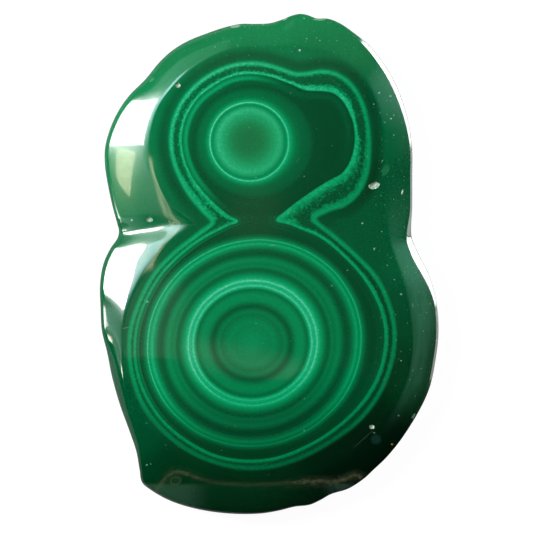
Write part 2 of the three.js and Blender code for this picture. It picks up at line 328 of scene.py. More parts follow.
def distance_to(place, x, y):
    return vector_length(vector_calc("SUBTRACT", place, (x, y, 0.0)))


def attribute(tree, name):
    return wire(tree, "ShaderNodeAttribute", output="Fac", attribute_name=name)


def smooth(value, start, end):
    """0 before start, 1 past end and an even curve between; start may be the larger."""
    inputs = {"Value": value, "From Min": start, "From Max": end}
    return wire(value.tree, "ShaderNodeMapRange", inputs, interpolation_type="SMOOTHSTEP")


def ridge(value, middle, half_width):
    """1 at the middle, falling evenly to 0 at a half width on both sides."""
    return smooth(calc("ABSOLUTE", value - middle), half_width, 0.0)


def blend(share, low, high):
    tree = tree_of((share, low, high))
    return wire(tree, "ShaderNodeMix", {0: share, 2: low, 3: high}, data_type="FLOAT")


def tint(share, base, colour):
    """Colour laid over a base by a share from 0 to 1."""
    tree = tree_of((share, base, colour))
    return wire(tree, "ShaderNodeMix", {0: share, 6: base, 7: colour}, 2, data_type="RGBA")


def noise(vector, scale, detail=2.0, roughness=0.5, offset=(0.0, 0.0, 0.0)):
    """Soft noise about 0, from -1 to 1, with features of 1 / scale."""
    moved = vector_calc("ADD", vector, offset)
    inputs = {"Vector": moved, "Scale": scale, "Detail": detail, "Roughness": roughness}
    return (wire(vector.tree, "ShaderNodeTexNoise", inputs) - 0.5) * 2.0


def linear(colour):
    """Scene-linear RGBA of an 8-bit display colour."""
    def channel(value):
        value /= 255
        return value / 12.92 if value <= 0.04045 else ((value + 0.055) / 1.055) ** 2.4
    return tuple(channel(value) for value in colour) + (1.0,)


def ramp(value, stops, reach=1.0, interpolation="LINEAR"):
    """Colour or grey that changes along a value; each stop is (place, grey or display colour)."""
    node = add_node(value.tree, "ShaderNodeValToRGB", {0: value / reach if reach != 1.0 else value})
    node.color_ramp.interpolation = interpolation
    elements = node.color_ramp.elements
    while len(elements) > 1:
        elements.remove(elements[-1])
    for index, (place, shade) in enumerate(stops):
        element = elements[0] if index == 0 else elements.new(place / reach)
        element.position = place / reach
        element.color = linear(shade) if isinstance(shade, tuple) else (shade,) * 3 + (1.0,)
    return Wire(value.tree, node.outputs[0])


def open_socket(tree, direction, name, kind):
    socket = tree.interface.new_socket(name, in_out=direction, socket_type="NodeSocket" + kind)
    return socket.identifier


def socket_kind(value):
    """Kind of socket that takes a value."""
    kinds = {bpy.types.Object: "Object", bpy.types.Material: "Material", int: "Int", float: "Float"}
    return kinds.get(type(value), "Vector")


def spot_group():
    """Shader node group that gives a soft-edged oval mask, or a ring where it is hollow."""
    group = bpy.data.node_groups.new("Spot", "ShaderNodeTree")
    for name in ("Place", "Middle"):
        open_socket(group, "INPUT", name, "Vector")
    for name in ("Half Length", "Half Width", "Turn", "Hollow", "Raggedness"):
        open_socket(group, "INPUT", name, "Float")
    open_socket(group, "OUTPUT", "Mask", "Float")
    source = group.nodes.new("NodeGroupInput")
    given = {socket.name: Wire(group, socket) for socket in source.outputs if socket.name}
    away = vector_calc("SUBTRACT", given["Place"], given["Middle"])
    x, y, _ = parts(away)
    turn = given["Turn"]
    cosine, sine = calc("COSINE", turn), calc("SINE", turn)
    along = (x * cosine + y * sine) / given["Half Length"]
    across = (y * cosine - x * sine) / given["Half Width"]
    reach = calc("SQRT", along * along + across * across) + given["Raggedness"]
    mask = smooth(reach, 1.25, 0.75) * (1.0 - smooth(reach, 0.85, 0.5) * given["Hollow"])
    output = group.nodes.new("NodeGroupOutput")
    plug(group, output.inputs["Mask"], mask)
    return group


def spot(group, place, ragged, middle, length, width, turn=0.0, hollow=0.0):
    node = place.tree.nodes.new("ShaderNodeGroup")
    node.node_tree = group
    inputs = {"Place": place, "Middle": (*middle, 0.0), "Half Length": length / 2,
              "Half Width": width / 2, "Turn": math.radians(turn), "Hollow": hollow,
              "Raggedness": ragged}
    for name, value in inputs.items():
        plug(place.tree, node.inputs[name], value)
    return Wire(place.tree, node.outputs["Mask"])


def dust(place, cell, size, share):
    """Mask of tiny round grains, one in some of the cells of the given width."""
    level = vector_calc("MULTIPLY", place, (1.0, 1.0, 0.0))
    node = add_node(place.tree, "ShaderNodeTexVoronoi", {"Vector": level, "Scale": 1.0 / cell})
    away = Wire(place.tree, node.outputs["Distance"]) * cell
    chance, bulk, _ = parts(Wire(place.tree, node.outputs["Color"]))
    kept = smooth(chance - share, 0.01, -0.01)
    radius = size * (0.4 + bulk * 0.6)
    return smooth(away / radius, 1.2, 0.6) * kept


# Curves of the plan

def smooth_curve(points, closed=True, length=900):
    """Even samples of the centripetal Catmull-Rom curve through points."""
    count = len(points)
    corners = [Vector(p) for p in points]

    def corner(index):
        if closed:
            return corners[index % count]
        if index < 0:
            return corners[0] * 2 - corners[1]
        if index >= count:
            return corners[-1] * 2 - corners[-2]
        return corners[index]

    fine = []
    for i in range(count if closed else count - 1):
        before, start, end, after = (corner(i + step) for step in (-1, 0, 1, 2))
        spans = [math.sqrt((b - a).length) for a, b in ((before, start), (start, end), (end, after))]
        leave = ((start - before) / spans[0] - (end - before) / (spans[0] + spans[1])
                 + (end - start) / spans[1]) * spans[1]
        arrive = ((end - start) / spans[1] - (after - start) / (spans[1] + spans[2])
                  + (after - end) / spans[2]) * spans[1]
        for step in range(40):
            t = step / 40
            fine.append(start + leave * t + (-3 * start + 3 * end - 2 * leave - arrive) * t ** 2
                        + (2 * start - 2 * end + leave + arrive) * t ** 3)
    fine.append(fine[0] if closed else corners[-1])
    runs = [0.0]
    for a, b in zip(fine, fine[1:]):
        runs.append(runs[-1] + (b - a).length)
    samples, k = [], 0
    last = length if closed else length - 1
    for i in range(length):
        target = runs[-1] * i / last
        while k < len(runs) - 2 and runs[k + 1] < target:
            k += 1
        share = (target - runs[k]) / (runs[k + 1] - runs[k])
        samples.append(fine[k].lerp(fine[k + 1], share))
    return samples


def middle_of_plan():
    """Middle of the outline's box, which is the origin of the frame."""
    rim = smooth_curve(OUTLINE)
    return Vector([(min(p[i] for p in rim) + max(p[i] for p in rim)) / 2 for i in (0, 1)])


MIDDLE = middle_of_plan()


def to_frame(place):
    """Place on the plan, in millimetres, as a place in the frame, in metres."""
    return ((place[0] - MIDDLE.x) * MM, (place[1] - MIDDLE.y) * MM)


def add_object(name, data):
    """Object at the origin that holds a mesh, a curve or a camera, in the scene."""
    piece = bpy.data.objects.new(name, data)
    bpy.context.scene.collection.objects.link(piece)
    return piece


def curve_object(name, points, closed=True):
    data = bpy.data.curves.new(name, "CURVE")
    data.dimensions = "3D"
    samples = smooth_curve(points, closed)
    spline = data.splines.new("POLY")
    spline.points.add(len(samples) - 1)
    for place, sample in zip(spline.points, samples):
        place.co = (*to_frame(sample), 0.0, 1.0)
    spline.use_cyclic_u = closed
    return add_object(name, data)


def pit_points():
    """Mesh of loose points at the pits, with the size and turn of each as attributes."""
    mesh = bpy.data.meshes.new("Pit places")
    mesh.from_pydata([(*to_frame(pit), 0.0) for pit in PITS], [], [])
    mesh.attributes.new("pit_size", "FLOAT_VECTOR", "POINT")
    mesh.attributes.new("pit_turn", "FLOAT", "POINT")
    for index, (_, _, length, width, depth, turn) in enumerate(PITS):
        half_size = (length * MM / 2, width * MM / 2, depth * MM)
        mesh.attributes["pit_size"].data[index].vector = half_size
        mesh.attributes["pit_turn"].data[index].value = math.radians(turn)
    return add_object("Pit places", mesh)


# Shape of the slice

FINISHES = ("Back", "Wall", "Face", "Pit")
CREASE = math.radians(28)
MERGE_REACH = 0.002 * MM

# Distance to each side of the middle at which a left or right setting holds in full
SIDE_REACH = 20 * MM

# Keeps the rim a hair inside the CAD solid's
RIM_SHARE = 0.9999


class SliceTree:
    """Geometry Nodes tree of the closed slice, its growth-line distances and its finishes."""

    def __init__(self, values):
        self.tree = bpy.data.node_groups.new("Malachite slice", "GeometryNodeTree")
        self.tree.is_modifier = True
        self.ids = {name: open_socket(self.tree, "INPUT", name, socket_kind(value))
                    for name, value in values.items()}
        open_socket(self.tree, "OUTPUT", "Slice", "Geometry")
        self.inputs = self.tree.nodes.new("NodeGroupInput")
        self.rim_curve = self.geometry_of("Outline")
        self.rim_edges = self.as_edges(self.rim_curve)
        self.flat_disc = self.as_disc(self.geometry_of("Flat Edge"))
        shell = self.join([self.sheet("Back", self.back), self.sheet("Wall", self.wall),
                           self.sheet("Face", self.face)])
        shell = wire(self.tree, "GeometryNodeMergeByDistance", {
            "Geometry": shell, "Distance": MERGE_REACH})
        cut = wire(self.tree, "GeometryNodeMeshBoolean", {
            "Mesh 1": shell, "Mesh 2": self.pits()}, operation="DIFFERENCE", solver="MANIFOLD")
        result = self.with_finishes(self.shaded(self.marked(cut)))
        output = self.tree.nodes.new("NodeGroupOutput")
        self.tree.links.new(result.socket, output.inputs[0])

    def given(self, name):
        return Wire(self.tree, self.inputs.outputs[name])

    def geometry_of(self, name):
        return wire(self.tree, "GeometryNodeObjectInfo", {"Object": self.given(name)}, "Geometry")

    def nearest(self, target, kind, place):
        inputs = {"Geometry": target, "Sample Position": place}
        return wire(self.tree, "GeometryNodeProximity", inputs, "Distance", target_element=kind)

    def as_edges(self, curve):
        return wire(self.tree, "GeometryNodeCurveToMesh", {"Curve": curve})

    def as_disc(self, curve):
        return wire(self.tree, "GeometryNodeFillCurve", {"Curve": curve}, mode="NGONS")

    def side_of(self, curve, place):
        """Distance to a closed curve, negative inside it."""
        outside = self.nearest(self.as_disc(curve), "FACES", place)
        return outside * 2.0 - self.nearest(self.as_edges(curve), "EDGES", place)

    def across(self, x, name):
        """Value that runs from its left to its right setting across the slice."""
        share = smooth(x, -SIDE_REACH, SIDE_REACH)
        return blend(share, self.given(name + " Left"), self.given(name + " Right"))

    def near(self, place, name, reach, core):
        """1 within the core distance of a named place, easing to 0 at its reach."""
        away = vector_length(vector_calc("SUBTRACT", place, self.given(name)))
        return smooth(away, reach, core)

    def valley_depth(self, x, y):
        """Depth of the valley at the left notch, deepening from its head to its mouth."""
        farthest, deepening, narrowing = 1.2, 1.2, 1.6
        head_x, head_y, _ = parts(self.given("Valley Head"))
        mouth_x, mouth_y, _ = parts(self.given("Valley Mouth"))
        run_x, run_y = mouth_x - head_x, mouth_y - head_y
        length = calc("SQRT", run_x * run_x + run_y * run_y)
        along = ((x - head_x) * run_x + (y - head_y) * run_y) / (length * length)
        across = ((x - head_x) * run_y - (y - head_y) * run_x) / length
        fillet = self.given("Valley Fillet")
        rounded = calc("SQRT", across * across + fillet * fillet) - fillet
        flank = calc("MAXIMUM", 1.0 - rounded / self.given("Valley Width"), 0.0)
        reach = calc("MINIMUM", calc("MAXIMUM", along, 0.0), farthest)
        return self.given("Valley Depth") * reach ** deepening * flank ** narrowing

    def rim_fall(self, place, to_rim):
        """Extra fall of the bevel and the rounded corner at the rim."""
        x, _, _ = parts(place)
        below = self.given("Bevel Gain Below") * self.near(place, "Bevel Place Below", 8 * MM, 1 * MM)
        above = self.given("Bevel Gain Above") * self.near(place, "Bevel Place Above", 13 * MM, 2 * MM)
        gained = (below + above) * smooth(x, -SIDE_REACH, SIDE_REACH)
        width = self.across(x, "Bevel") + gained
        bevel = calc("MAXIMUM", width - to_rim, 0.0) * self.across(x, "Bevel Gradient")
        radius = self.across(x, "Rim Radius")
        roundness = calc("MAXIMUM", 1.0 - to_rim / radius, 0.0)
        corner = 1.0 - calc("SQRT", calc("MAXIMUM", 1.0 - roundness * roundness, 0.0))
        return bevel + radius * corner

    def outward(self, place, to_rim):
        """Share of the way from the flat middle to the rim, smaller where the rim is cut back."""
        to_flat = self.nearest(self.flat_disc, "FACES", place)
        cut_back = self.given("Cut Back") * self.near(place, "Cut Back Place", 9 * MM, 2 * MM)
        return to_flat / calc("MAXIMUM", to_flat + to_rim + cut_back, 1e-6)

    def face_height(self, place):
        """Height of the polished face over a place on the plan."""
        x, y, _ = parts(place)
        level = point(self.tree, x, y)
        thickness = self.given("Thickness")
        to_rim = self.nearest(self.rim_edges, "EDGES", level)
        outward = self.outward(level, to_rim)
        softness = self.given("Fall Softness")
        eased = calc("SQRT", outward * outward + softness * softness) - softness
        curve = self.across(x, "Fall Curve")
        dome = thickness - self.given("Fall Start") * eased - curve * outward * outward
        facet = thickness - self.given("Facet Gradient") * (self.given("Facet Edge") - y)
        return calc("MINIMUM", dome, facet) - self.rim_fall(level, to_rim) - self.valley_depth(x, y)

    def sheet(self, finish, lay_out):
        """Grid bent round the slice; lay_out gives inset and height along each meridian."""
        grid = wire(self.tree, "GeometryNodeMeshGrid", {
            "Size X": 1.0, "Size Y": 1.0, "Vertices X": self.given(finish + " Stations"),
            "Vertices Y": self.given("Rays")})
        u, v, _ = parts(wire(self.tree, "GeometryNodeInputPosition"))
        along, round_rim = u + 0.5, calc("MINIMUM", v + 0.5, 1.0)
        rim = wire(self.tree, "GeometryNodeSampleCurve", {
            "Curves": self.rim_curve, "Factor": round_rim}, "Position", mode="FACTOR")
        hub = self.given("Hub")
        spoke = vector_calc("SCALE", vector_calc("SUBTRACT", rim, hub), RIM_SHARE)
        rim = vector_calc("ADD", hub, spoke)
        reach = vector_length(spoke)
        inset, height = lay_out(along, reach, rim)
        plan = vector_calc("ADD", hub, vector_calc("SCALE", spoke, 1.0 - inset / reach))
        x, y, _ = parts(plan)
        z = height(plan) if callable(height) else height
        moved = wire(self.tree, "GeometryNodeSetPosition", {
            "Geometry": grid, "Position": point(self.tree, x, y, z)})
        stored = self.store(moved, "finish", float(FINISHES.index(finish)), "FACE")
        return wire(self.tree, "GeometryNodeFlipFaces", {"Mesh": stored})

    def back(self, along, reach, rim):
        """Inset and height from the hub to the edge of the back."""
        edge = self.given("Wall Lean") + self.given("Back Bevel")
        return reach - (reach - edge) * along, 0.0

    def wall(self, along, reach, rim):
        """Inset and height up the wall, past the small bevel at the back."""
        lean, bevel = self.given("Wall Lean"), self.given("Back Bevel")
        chamfer_end, widest, leaning = 0.15, 0.85, 1.35
        chamfer = calc("MINIMUM", along / chamfer_end, 1.0)
        climb = calc("MAXIMUM", (along - chamfer_end) / (1.0 - chamfer_end), 0.0)
        top = self.face_height(rim)
        lean_in = lean * calc("MAXIMUM", 1.0 - climb / widest, 0.0) ** leaning
        return bevel * (1.0 - chamfer) + lean_in, bevel * chamfer + (top - bevel) * climb

    def face(self, along, reach, rim):
        """Inset and height from the rim to the hub, with the stations crowded near the rim."""
        near_share, near_width, crowding = 0.4, 8 * MM, 1.8
        near = near_width * calc("MINIMUM", along / near_share, 1.0) ** crowding
        far = calc("MAXIMUM", (along - near_share) / (1.0 - near_share), 0.0)
        return near + (reach - near_width) * far, self.face_height

    def store(self, geometry, name, value, domain="POINT", kind="FLOAT"):
        inputs = {"Geometry": geometry, "Name": name, "Value": value}
        return wire(self.tree, "GeometryNodeStoreNamedAttribute", inputs, domain=domain, data_type=kind)

    def read(self, name, kind="FLOAT"):
        return wire(self.tree, "GeometryNodeInputNamedAttribute", {"Name": name}, data_type=kind)

    def pits(self):
        """Rough ellipsoids on the face, one for each pit."""
        lump_height = 0.22
        places = self.geometry_of("Pits")
        here = wire(self.tree, "GeometryNodeInputPosition")
        x, y, _ = parts(here)
        lifted = wire(self.tree, "GeometryNodeSetPosition", {
            "Geometry": places, "Position": point(self.tree, x, y, self.face_height(here))})
        ball = wire(self.tree, "GeometryNodeMeshIcoSphere", {"Radius": 1.0, "Subdivisions": 4})
        lumps = noise(here, 1.6, 3.0, 0.6) * lump_height
        rough = wire(self.tree, "GeometryNodeSetPosition", {
            "Geometry": ball, "Offset": vector_calc("SCALE", here, lumps)})
        turned = wire(self.tree, "FunctionNodeEulerToRotation", {
            0: point(self.tree, 0.0, 0.0, self.read("pit_turn"))})
        placed = wire(self.tree, "GeometryNodeInstanceOnPoints", {
            "Points": lifted, "Instance": rough, "Rotation": turned,
            "Scale": self.read("pit_size", "FLOAT_VECTOR")})
        solid = wire(self.tree, "GeometryNodeRealizeInstances", {"Geometry": placed})
        return self.store(solid, "finish", float(FINISHES.index("Pit")), "FACE")

    def join(self, geometries):
        node = add_node(self.tree, "GeometryNodeJoinGeometry")
        for geometry in reversed(geometries):
            self.tree.links.new(geometry.socket, node.inputs[0])
        return Wire(self.tree, node.outputs[0])

    def marked(self, geometry):
        """Stores the distances that the finishes are painted by, along the slanting growth bands."""
        x, y, z = parts(wire(self.tree, "GeometryNodeInputPosition"))
        level = point(self.tree, x, y)
        slant = vector_calc("SCALE", self.given("Growth Slant"), self.given("Thickness") - z)
        leaning = vector_calc("ADD", level, slant)
        facet_edge = self.as_edges(self.geometry_of("Facet Line"))
        distances = {
            "inner_line": self.side_of(self.geometry_of("Inner Line"), leaning),
            "outer_line": self.side_of(self.geometry_of("Outer Line"), leaning),
            "outward": self.outward(level, self.nearest(self.rim_edges, "EDGES", level)),
            "facet_line": self.nearest(facet_edge, "EDGES", level),
        }
        for name, distance in distances.items():
            geometry = self.store(geometry, name, distance)
        return geometry

    def shaded(self, geometry):
        """Smooth shading, with the edges past the crease angle kept sharp."""
        angle = wire(self.tree, "GeometryNodeInputMeshEdgeAngle")
        smoothed = wire(self.tree, "GeometryNodeSetShadeSmooth", {
            "Geometry": geometry, "Shade Smooth": True}, domain="FACE")
        return wire(self.tree, "GeometryNodeSetShadeSmooth", {
            "Geometry": smoothed, "Selection": calc("GREATER_THAN", angle, CREASE),
            "Shade Smooth": False}, domain="EDGE")

    def with_finishes(self, geometry):
        result = wire(self.tree, "GeometryNodeRealizeInstances", {"Geometry": geometry})
        for index, finish in enumerate(FINISHES):
            chosen = ridge(self.read("finish"), float(index), 0.5)
            result = wire(self.tree, "GeometryNodeSetMaterial", {
                "Geometry": result, "Selection": calc("GREATER_THAN", chosen, 0.5),
                "Material": self.given(finish + " Finish")})
        return result


def apply_tree(holder, builder, values):
    """Runs a tree on a piece with the given inputs and keeps the result as its plain mesh."""
    modifier = holder.modifiers.new("Shape", "NODES")
    modifier.node_group = builder.tree
    for name, value in values.items():
        modifier[builder.ids[name]] = value
    bpy.context.view_layer.update()
    graph = bpy.context.evaluated_depsgraph_get()
    shaped = bpy.data.meshes.new_from_object(
        holder.evaluated_get(graph), preserve_all_data_layers=True, depsgraph=graph)
    holder.modifiers.remove(modifier)
    plain, holder.data = holder.data, shaped
    shaped.name = holder.name
    bpy.data.meshes.remove(plain)
    return shaped


# Growth pattern of the stone

Lobe = namedtuple("Lobe", "green radius cosine sine")


def with_rings(green, radius, rings):
    for middle, half_width, gain in rings:
        green = green + ridge(radius, middle, half_width) * gain
    return green


def lower_lobe(plan, drift):
    """Rings of the lower lobe, which grow more oval outwards."""
    x_away, y_away, _ = parts(vector_calc("SUBTRACT", plan, (*LOWER_CENTRE, 0.0)))
    reach = calc("SQRT", x_away * x_away + y_away * y_away)
    x = x_away + 0.22 - smooth(reach, 5.0, 20.0) * 0.44
    radius = calc("SQRT", x * x + y_away * y_away)
    cosine, sine = x / radius, y_away / radius
    ovalness = smooth(reach, 1.0, 6.0) * 0.17 + smooth(reach, 12.0, 20.0) * 0.2
    oval = (cosine * cosine - sine * sine) * ovalness
    lean = cosine * sine * smooth(reach, 6.0, 17.0) * 0.64
    radius = radius - oval - lean + drift * 0.08
    green = with_rings(ramp(radius, LOWER_BANDS, RAMP_REACH, "CARDINAL"), radius, LOWER_RINGS)

    # Hair-fine growth lines between the broad bands
    hair = wire(plan.tree, "ShaderNodeTexNoise", {
        "W": radius, "Scale": 2.6, "Detail": 2.0, "Roughness": 0.7}, noise_dimensions="1D") - 0.5
    green = green + hair * 0.04 * smooth(radius, 6.0, 10.0)

    # Painted shade: duller towards the bottom, and a little towards the right, away from the light at
    # the upper left
    below = smooth(sine, -0.25, -1.1) * smooth(radius, 4.0, 18.0) * 0.29
    right = cosine * smooth(radius, 8.0, 16.0) * 0.06
    return Lobe(green * (1.0 - below - right), radius, cosine, sine)


def upper_lobe(plan, drift):
    """Rings of the upper lobe, of which the outer ones lie off centre to the right."""
    away = vector_calc("SUBTRACT", plan, (*UPPER_CENTRE, 0.0))
    x_away, y_away, _ = parts(away)
    reach = vector_length(away)
    spread = smooth(reach, 5.9, 9.6)
    x = (x_away - spread * 0.92) * (1.0 - spread * 0.035)
    y = (y_away + smooth(reach, 4.5, 5.8) * 0.18 + spread * 0.25) * (1.0 + spread * 0.035)
    radius = calc("SQRT", x * x + y * y) + drift * 0.06
    green = with_rings(ramp(radius, UPPER_BANDS, RAMP_REACH, "CARDINAL"), radius, UPPER_RINGS)

    # Painted light: brighter towards the upper left, where the light comes from
    cosine, sine = x_away / reach, y_away / reach
    painted_light = smooth(reach, 2.0, 5.0) * 0.03 + smooth(reach, 6.6, 7.6) * 0.06
    green = green * (1.0 + (sine * 0.55 - cosine * 0.83) * painted_light)
    return Lobe(green, radius, cosine, sine)


class GrowthTree:
    """Shader node group of the stone's colour with painted shade, sheen and haze, worked out from its
    depth of green.
    """

    def __init__(self):
        self.group = bpy.data.node_groups.new("Growth bands", "ShaderNodeTree")
        open_socket(self.group, "OUTPUT", "Color", "Color")
        open_socket(self.group, "OUTPUT", "Place", "Vector")
        self.find_place()
        self.find_lines()
        self.scatter_granules()
        stone = blend(smooth(self.inner, -0.1, 0.1), self.within_lines(), self.beyond_lines())
        stone = self.with_pale_lines(stone + self.gap_granules())
        fine_grain = 1.06 + noise(self.plan, 2.4, 2.0, 0.7) * 0.12
        stone = stone * fine_grain + noise(self.plan, 0.9, 2.0) * 0.009
        output = self.group.nodes.new("NodeGroupOutput")
        plug(self.group, output.inputs["Color"], self.coloured(stone))
        plug(self.group, output.inputs["Place"], self.place)

    def find_place(self):
        """Finds the place in the plan's millimetres, moved along the slanting bands to the face."""
        metres = wire(self.group, "ShaderNodeTexCoord", output="Object")
        middle = (MIDDLE.x, MIDDLE.y, 0.0)
        self.place = vector_calc("ADD", vector_calc("SCALE", metres, 1 / MM), middle)
        x, y, z = parts(self.place)
        depth = settings().thickness / MM - z
        slant_x, slant_y = settings().growth_slant
        self.x, self.y = x + depth * slant_x, y + depth * slant_y
        self.plan = point(self.group, self.x, self.y)

    def find_lines(self):
        """Finds the two lobes' rings and the distances to the two pale lines, negative inside them."""
        self.drift = noise(self.plan, 0.22, 1.0)
        self.lower = lower_lobe(self.plan, self.drift)
        self.upper = upper_lobe(self.plan, self.drift)
        self.below_neck = smooth(self.y, 6.5, 4.0)
        lower_end = smooth(self.lower.sine, -0.1, -0.6)
        lower_left = smooth(self.lower.cosine, 0.2, -0.3)
        self.inner = self.stored("inner_line") + self.below_neck * (0.05 + lower_end * 0.13)
        self.outer = self.stored("outer_line") + self.below_neck * lower_left * 0.10

    def stored(self, name):
        return attribute(self.group, name) / MM

    def scatter_granules(self):
        """Makes the grains and cells that the pale lines and the gap between them are ragged by."""
        self.grains = noise(self.plan, 2.4, 3.0, 0.7, (31.0, 7.0, 0.0))
        self.fine_grains = noise(self.plan, 5.0, 2.0, 0.6, (3.0, 17.0, 0.0))
        cells = add_node(self.group, "ShaderNodeTexVoronoi", {"Vector": self.plan, "Scale": 2.7})
        self.chance = parts(Wire(self.group, cells.outputs["Color"]))[0] - 0.5
        self.between = smooth(Wire(self.group, cells.outputs["Distance"]), 0.3, 0.7)
        self.rough = 1.0 - self.below_neck * 0.6

    def within_lines(self):
        """Depth of green inside the inner line, with soft pale bands on the left of each lobe, partly
        the stone's own and partly a painted sheen from the light at the left.
        """
        inner, upper, lower = self.inner, self.upper, self.lower
        upper_left = smooth(upper.sine * 0.42 - upper.cosine * 0.91, -0.35, 0.6)
        light = ridge(inner, -0.85, 0.6) * 0.27 + ridge(inner, -0.4, 0.4) * 0.12
        upper_green = upper.green + upper_left * light
        upper_green = upper_green + ridge(inner, -1.2, 1.0) * smooth(upper.sine, -0.5, 0.3) * 0.05
        lower_left = smooth(lower.sine * 0.3 - lower.cosine * 0.95, 0.2, 0.9)
        lower_green = lower.green + ridge(inner, -0.5, 0.32) * (lower_left * 0.12 + 0.05)
        lower_green = lower_green + ridge(inner, -1.1, 0.5) * (1.0 - lower_left) * 0.03
        to_lower = smooth((upper.radius - 11.0) - (lower.radius - 19.6), -0.8, 0.8)
        return blend(to_lower, upper_green, lower_green)

    def beyond_lines(self):
        """Depth of green past the inner line, with a dark band round the upper lobe's outer line, and
        painted shade that darkens it towards the lower right.
        """
        x, y, outer = self.x, self.y, self.outer
        # Painted shade: paler towards the upper left and darker towards the lower right, as the light
        # falls
        outside = 0.33 + y * 0.0046 - x * 0.0038 + self.drift * 0.012
        for patch_x, patch_y, reach, core, gain in PATCHES:
            outside = outside + smooth(distance_to(self.plan, patch_x, patch_y), reach, core) * gain
        top = smooth(y, 26.0, 34.0)
        # Painted shade: darker towards the bottom
        outside = outside - smooth(y, -18.0, -28.0) * 0.015
        outside = outside - smooth(x, 4.0, -10.0) * top * 0.035
        outside = outside + smooth(y, -34.6, -35.4) * 0.03
        outside = outside - ridge(outer, 1.4, 1.6) * smooth(y, 2.0, 14.0) * 0.11
        streaks = noise(point(self.group, x + y * 0.06, y * 0.12), 1.6, 2.0, 0.6, (4.0, 8.0, 0.0))
        outside = outside + streaks * (0.010 + top * 0.012)
        # Painted shade: the gap between the lines also pales towards the upper left
        gap = 0.335 + y * 0.0014 - x * 0.0022
        return blend(smooth(outer, -0.2, 0.2), gap, outside)

    def gap_granules(self):
        """Pale and dark granules in the gap between the pale lines."""
        in_gap = smooth(self.inner, 0.1, 0.4) * smooth(self.outer, 0.0, -0.3)
        sparks = smooth(noise(self.plan, 3.4, 1.0, 0.5, (9.0, 4.0, 0.0)), 0.25, 0.6)
        crystals = smooth(self.chance, 0.34, 0.46)
        return in_gap * self.rough * (sparks * 0.10 + self.grains * 0.08 + crystals * 0.11)

    def with_pale_lines(self, stone):
        """Lays the pale lines over the stone, with ragged edges towards the gap between them."""
        x, y, inner, outer = self.x, self.y, self.inner, self.outer
        grains, fine, chance, rough = self.grains, self.fine_grains, self.chance, self.rough
        cosine, sine = self.upper.cosine, self.upper.sine

        # Places of the upper lobe where the lines broaden
        above_neck = smooth(y, 6.0, 8.0)
        lower_right = smooth(cosine * 0.74 - sine * 0.67, 0.62, 0.97) * above_neck
        lower_end = smooth(cosine * -0.5 - sine * 0.87, 0.8, 1.0) * above_neck
        shoulder = smooth(cosine * 0.87 + sine * 0.5, 0.93, 1.0) * above_neck * 0.25
        broad = (lower_right * 1.05 + lower_end * 0.3
                 + smooth(self.lower.cosine, 0.8, 0.9) * 0.12 + shoulder)
        outer_broad = calc("MAXIMUM", lower_right, lower_end)

        crumbs = (chance * (0.34 + broad * 0.6) + grains * (0.3 + broad * 0.35)) * rough
        inner_share = (smooth(inner + shoulder * 0.8 + fine * 0.06, -0.38, -0.06)
                       * smooth(inner - broad + crumbs, 0.50, 0.12))
        feathers = grains * 0.3 - chance * (0.22 + outer_broad * 0.35)
        outer_share = (smooth(outer + feathers * rough + outer_broad * 0.35, -0.52, -0.08)
                       * smooth(outer + grains * 0.16 - outer_broad * 0.15, 0.72, 0.05))

        past_inner = smooth(inner, 0.0, 0.35 + broad)
        # Painted shade: the inner pale line pales towards the upper left
        inner_green = 0.64 + y * 0.0034 - x * 0.0012 + fine * 0.07 + grains * 0.04
        inner_green = inner_green + (chance * 0.10 - self.between * past_inner * 0.16) * rough
        inner_green = inner_green - smooth(broad, 0.3, 1.0) * past_inner * 0.09
        # Painted shade: the outer pale line pales towards the upper left and darkens towards the bottom
        outer_green = 0.605 + y * 0.0045 - x * 0.0035 + fine * 0.06 + grains * 0.03
        outer_green = outer_green - smooth(y, -18.0, -28.0) * 0.05
        speckle = (chance * 0.12 - self.between * 0.08) * smooth(outer, 0.3, -0.4) * rough
        outer_green = outer_green + speckle - smooth(x, 8.0, 15.0) * smooth(y, 8.0, 15.0) * 0.04
        outer_green = outer_green + self.below_neck * smooth(self.lower.cosine, 0.5, 0.9) * 0.05
        return blend(inner_share, blend(outer_share, stone, outer_green), inner_green)

    def coloured(self, stone):
        """Colour of the stone, warmer in the core of the upper lobe and at the neck, with a painted
        warm haze at the top that stands in for reflected light.
        """
        in_core = smooth(self.upper.radius, 5.7, 5.3) * 0.10
        at_neck = smooth(distance_to(self.plan, -2.2, 8.0), 7.0, 1.0) * 0.07
        # Painted haze: a warm veil at the top for the light that the slopes there reflect
        painted_top_haze = smooth(self.y, 27.0, 33.0) * smooth(self.inner, 0.0, 0.5) * 0.05
        warm = (in_core + at_neck) * smooth(self.inner, -0.2, -0.4) + painted_top_haze
        return tint(warm, ramp(stone, PALETTE), linear((104, 140, 84)))


# Finishes of the stone

def bare_material(name):
    """Material whose node tree is empty."""
    material = bpy.data.materials.new(name)
    material.use_nodes = True
    material.node_tree.nodes.clear()
    return material


def new_material(name):
    """Material with a bare Principled BSDF, and its tree and shader."""
    material = bare_material(name)
    tree = material.node_tree
    shader = tree.nodes.new("ShaderNodeBsdfPrincipled")
    output = tree.nodes.new("ShaderNodeOutputMaterial")
    tree.links.new(shader.outputs[0], output.inputs[0])
    return material, tree, shader


def stone_material(name, group, ior):
    """Stone material with its shader, and its growth colour and place in the plan's millimetres."""
    material, tree, shader = new_material(name)
    node = tree.nodes.new("ShaderNodeGroup")
    node.node_tree = group
    shader.inputs["IOR"].default_value = ior
    return material, shader, Wire(tree, node.outputs["Color"]), Wire(tree, node.outputs["Place"])


def dress(shader, colour, roughness, height, relief):
    """Joins a colour, a roughness and a height with its relief in millimetres to a shader."""
    tree = colour.tree
    plug(tree, shader.inputs["Base Color"], colour)
    plug(tree, shader.inputs["Roughness"], roughness)
    bump = wire(tree, "ShaderNodeBump", {"Height": height, "Distance": relief * MM})
    plug(tree, shader.inputs["Normal"], bump)


